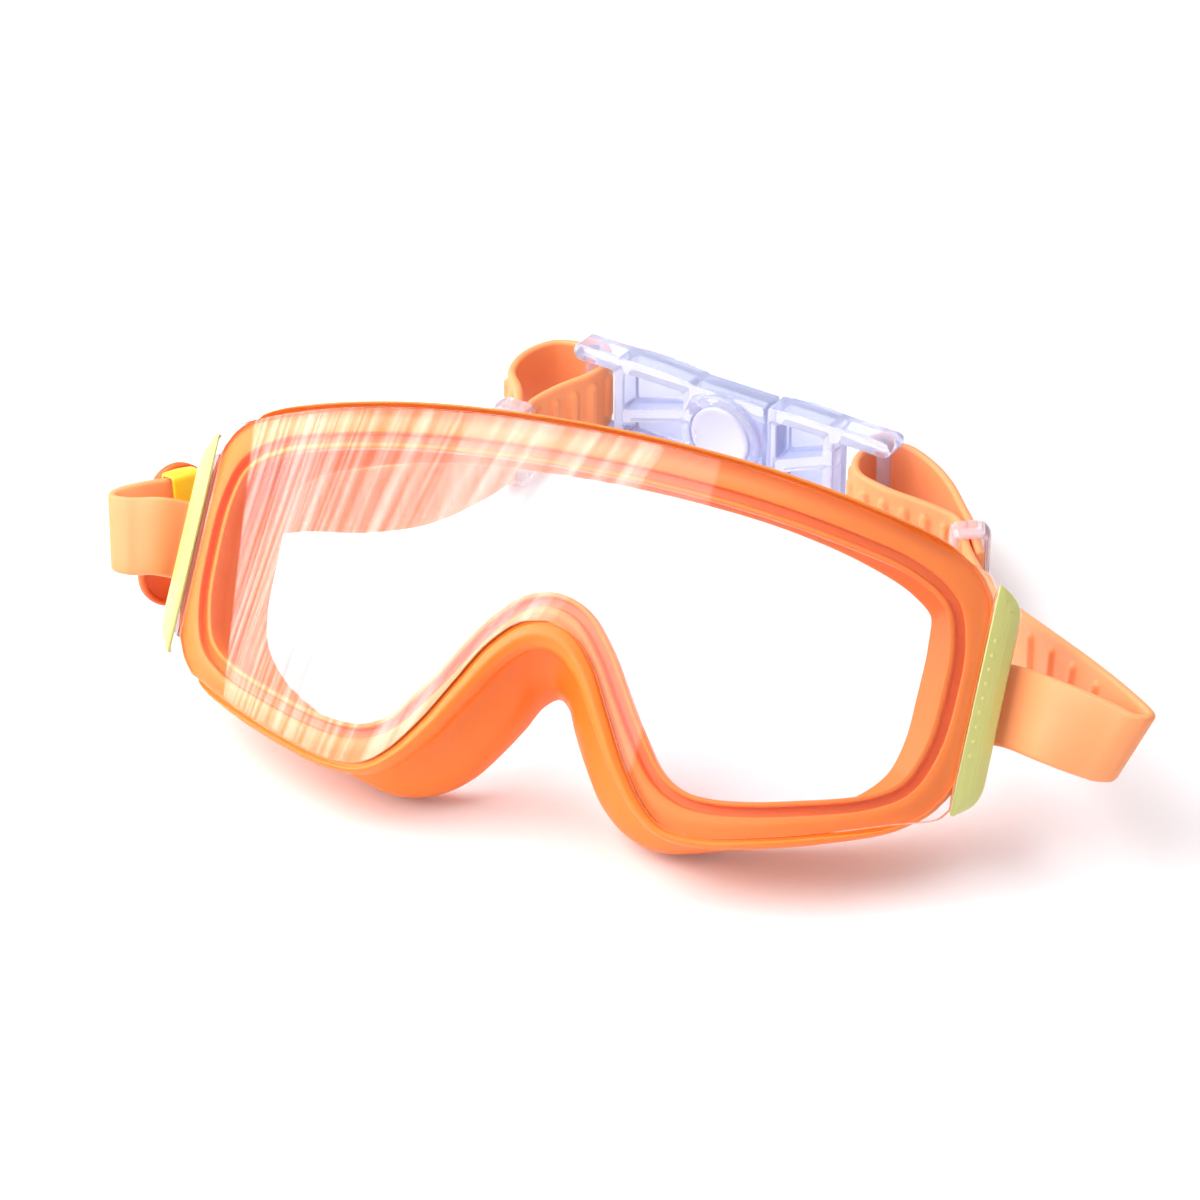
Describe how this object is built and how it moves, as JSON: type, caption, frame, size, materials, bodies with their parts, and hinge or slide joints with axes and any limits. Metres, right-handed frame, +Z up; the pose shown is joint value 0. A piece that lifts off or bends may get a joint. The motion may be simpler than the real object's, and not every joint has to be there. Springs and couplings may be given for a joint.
{
  "type": "swim goggles",
  "caption": "Wide-view swim mask: wrap lens over both eyes, soft face skirt with nose notch, end clips, ribbed head strap looped round a press-button buckle.",
  "frame": {"origin": "middle of the footprint, on the table the goggles rest on", "axes": "+X to the viewer's right when facing the lens, +Y from the lens back to the buckle, +Z up"},
  "size_m": [0.2038, 0.154, 0.068],
  "materials": {
    "lens_clear": "clear gloss polycarbonate",
    "skirt_silicone": "satin silicone",
    "strap_silicone": "satin silicone",
    "clip_cover": "satin gloss",
    "clear_fitting": "clear gloss",
    "buckle_clear": "clear gloss with a lavender tint",
    "pin": "brushed",
    "slide_yellow": "satin",
    "tab_orange": "satin"
  },
  "bodies": {
    "mask": {"lens": "lens_clear", "skirt": "skirt_silicone", "clip_left": "clip_cover", "clip_right": "clip_cover", "clip_base_left": "clear_fitting", "clip_base_right": "clear_fitting", "anchor_pin_left": "pin", "anchor_pin_right": "pin", "strap_end_left": "strap_silicone", "strap_end_right": "strap_silicone"},
    "strap_left_body": {"strap_left": "strap_silicone"},
    "strap_right_body": {"strap_right": "strap_silicone"},
    "keeper_left_body": {"keeper_left": "clear_fitting"},
    "keeper_right_body": {"keeper_right": "clear_fitting"},
    "slide_body": {"strap_slide": "slide_yellow", "slide_tab": "tab_orange"},
    "socket_body": {"buckle_socket": "buckle_clear"},
    "plug_body": {"buckle_plug": "buckle_clear"},
    "button_body": {"release_button": "buckle_clear"}
  },
  "joints": [
    {"name": "strap_left_swing", "type": "hinge", "parent": "mask", "child": "strap_left_body", "pos_m": [-0.09611, -0.04187, 0.02945], "axis": [0, 0, 1], "range_deg": [-3, 3]},
    {"name": "strap_right_swing", "type": "hinge", "parent": "mask", "child": "strap_right_body", "pos_m": [0.09569, -0.04447, 0.02875], "axis": [0, 0, 1], "range_deg": [-4.6, 4.6]},
    {"name": "buckle_turn", "type": "hinge", "parent": "strap_left_body", "child": "socket_body", "pos_m": [-0.04428, 0.07049, 0.011], "axis": [0, 0, 1], "range_deg": [-10.6, 10.6]},
    {"name": "plug_release", "type": "slide", "parent": "socket_body", "child": "plug_body", "axis": [0.9744, -0.225, 0], "range_m": [0, 0.0035]},
    {"name": "button_press", "type": "slide", "parent": "socket_body", "child": "button_body", "axis": [0.225, 0.9744, 0], "range_m": [0, 0.0012], "stiffness_N_per_m": 800},
    {"name": "keeper_left_slide", "type": "slide", "parent": "strap_left_body", "child": "keeper_left_body", "axis": [0.1749, 0.9846, 0], "range_m": [-0.002, 0.001]},
    {"name": "keeper_right_slide", "type": "slide", "parent": "strap_right_body", "child": "keeper_right_body", "axis": [-0.3928, 0.9196, 0], "range_m": [-0.002, 0.001]},
    {"name": "slide_shift", "type": "slide", "parent": "strap_left_body", "child": "slide_body", "axis": [0.5997, 0.7956, -0.086], "range_m": [-0.0015, 0.0003]}
  ],
  "couplings": [
    {"joint": "strap_right_swing", "follows": "strap_left_swing", "ratio": 1.5043},
    {"joint": "buckle_turn", "follows": "strap_left_swing", "ratio": -3.3984}
  ]
}
